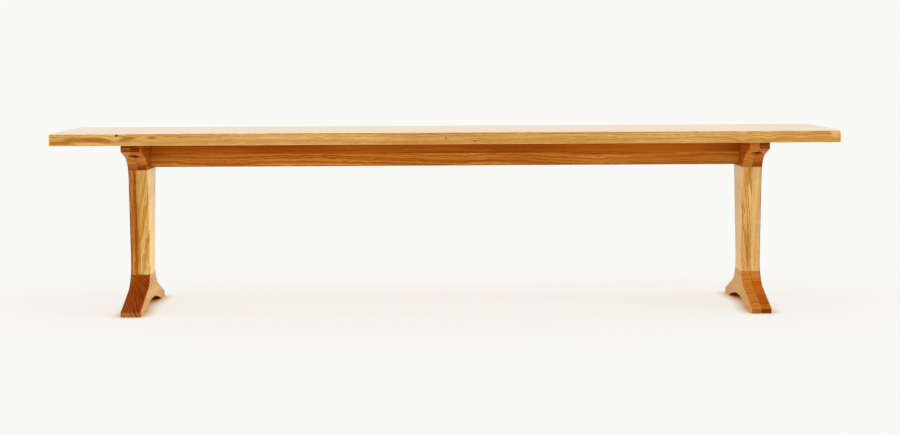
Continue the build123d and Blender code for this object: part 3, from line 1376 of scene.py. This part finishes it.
@dataclass
class Studio:
    """Pale seamless floor, soft light and the camera.

    Lengths are in metres, the camera's lens and sensor in millimetres and its angles in radians. The shade
    share is how much of the floor's light the bench can shade, in red, green and blue. The contact shadow
    is painted: its reach and depth are the size and strength of the dark warm line where wood stands on the
    floor.
    """

    floor_radius: float = 60.0
    floor_corners: int = 96
    camera_place: Triple = (-0.033782, -4.135527, 0.645643)
    camera_lens: float = 64.8791
    camera_sensor: float = 36.0
    camera_shift: float = -0.118
    camera_range: float = 200.0
    yaw: float = 0.01109
    pitch: float = 0.03658
    roll: float = 0.00455
    backdrop: str = "#F9F9F7"
    bounce: Colour = (0.88, 0.87, 0.85, 1.0)
    shade_share: Triple = (0.24, 0.32, 0.40)
    contact_shadow_reach: float = 0.032
    contact_shadow_depth: Triple = (0.6, 1.1, 1.7)
    contact_samples: int = 16
    ambient: float = 0.83
    lamps: tuple[Lamp, ...] = (
        Lamp("low_key", strength=2.2, azimuth=78.0, height=7.0),
        Lamp("low_fill", strength=1.4, azimuth=-78.0, height=7.0),
    )

    def build(self) -> None:
        """Make the floor, the world, the lamps and the camera."""
        self.make_floor()
        self.make_world()
        for lamp in self.lamps:
            lamp.hang()
        self.make_camera()
        bpy.context.scene.view_settings.view_transform = "Standard"

    def choose(self, graph: Graph, hidden: bpy.types.Node, shown: bpy.types.Node) -> bpy.types.Node:
        """Show one shader to the camera and to what gloss and glass send on, and another to all else.

        Args:
            graph: The material's or the world's graph.
            hidden: The shader that lights the bench.
            shown: The shader that is seen.

        Returns:
            The node that mixes them.
        """
        path = graph.add("ShaderNodeLightPath").outputs
        seen = graph.math("MAXIMUM", path["Is Camera Ray"], path["Is Glossy Ray"])
        seen = graph.math("MAXIMUM", seen, path["Is Transmission Ray"])
        return graph.add("ShaderNodeMixShader", {0: seen, 1: hidden.outputs[0], 2: shown.outputs[0]})

    def make_floor(self) -> None:
        """Lay a round floor that fades into the backdrop and keeps the bench's shadow."""
        shape = bmesh.new()
        bmesh.ops.create_circle(shape, cap_ends=True, segments=self.floor_corners, radius=self.floor_radius)
        mesh = bpy.data.meshes.new("floor")
        shape.to_mesh(mesh)
        shape.free()
        floor = bpy.data.objects.new("floor", mesh)
        bpy.context.scene.collection.objects.link(floor)
        mesh.materials.append(self.floor_finish())

    def floor_finish(self) -> bpy.types.Material:
        """Make the floor's material, whose light is in part steady and in part shaded by the bench, with a
        painted contact shadow.

        Returns:
            The material.
        """
        made = bpy.data.materials.new("seamless_floor")
        graph = Graph.of(made)
        light = linear(self.backdrop)
        level = self.open_floor_level()
        shaded = tuple(share * light[i] / level for i, share in enumerate(self.shade_share))
        glow = tuple((1 - share) * light[i] for i, share in enumerate(self.shade_share))
        # Painted shadow: ambient occlusion darkens the floor where the bench stands near, blue more than red,
        # for a warm tint.
        feeds = {"Distance": self.contact_shadow_reach}
        near = graph.add("ShaderNodeAmbientOcclusion", feeds, samples=self.contact_samples).outputs["AO"]
        reached = graph.join(*(graph.math("POWER", near, depth) for depth in self.contact_shadow_depth))
        shade = graph.add("ShaderNodeBsdfDiffuse", {"Color": graph.vector("MULTIPLY", reached, shaded)})
        feeds = {"Color": graph.vector("MULTIPLY", reached, glow), "Strength": 1.0}
        steady = graph.add("ShaderNodeEmission", feeds)
        both = graph.add("ShaderNodeAddShader", {0: shade.outputs[0], 1: steady.outputs[0]})
        bounce = graph.add("ShaderNodeBsdfDiffuse", {"Color": self.bounce})
        graph.add("ShaderNodeOutputMaterial", {0: self.choose(graph, bounce, both).outputs[0]})
        return made

    def open_floor_level(self) -> float:
        """The light that the open floor gets, where 1 is a white that renders as white."""
        return self.ambient + sum(lamp.on_floor() for lamp in self.lamps)

    def make_world(self) -> None:
        """Light the room evenly, and show the backdrop's own tone behind the bench."""
        world = bpy.data.worlds.new("studio")
        bpy.context.scene.world = world
        graph = Graph.of(world)
        lamp = graph.add("ShaderNodeBackground", {"Color": WHITE, "Strength": self.ambient})
        wall = graph.add("ShaderNodeBackground", {"Color": linear(self.backdrop), "Strength": 1.0})
        graph.add("ShaderNodeOutputWorld", {0: self.choose(graph, lamp, wall).outputs[0]})

    def make_camera(self) -> None:
        """Set the camera where the photograph's outlines put it."""
        data = bpy.data.cameras.new("camera")
        data.lens = self.camera_lens
        data.sensor_width = self.camera_sensor
        data.shift_y = self.camera_shift
        data.clip_end = self.camera_range
        camera = bpy.data.objects.new("camera", data)
        turn = (
            Matrix.Rotation(-self.yaw, 4, "Z")
            @ Matrix.Rotation(math.pi / 2 - self.pitch, 4, "X")
            @ Matrix.Rotation(-self.roll, 4, "Z")
        )
        camera.matrix_world = Matrix.Translation(self.camera_place) @ turn
        bpy.context.scene.collection.objects.link(camera)
        bpy.context.scene.camera = camera


def main() -> None:
    """Dress the bench, piece by piece, and set the studio."""
    logging.basicConfig(level=logging.INFO, format="%(message)s")
    workshop = Workshop()
    Seat().build(workshop)
    Rail().build(workshop)
    Trestle(Side.LEFT, LEFT_LAMINAE, seed=21.0).build(workshop)
    Trestle(Side.RIGHT, RIGHT_LAMINAE, seed=44.0).build(workshop)
    SeatFixings().build(workshop)
    Studio().build()


if __name__ == "__main__":
    main()
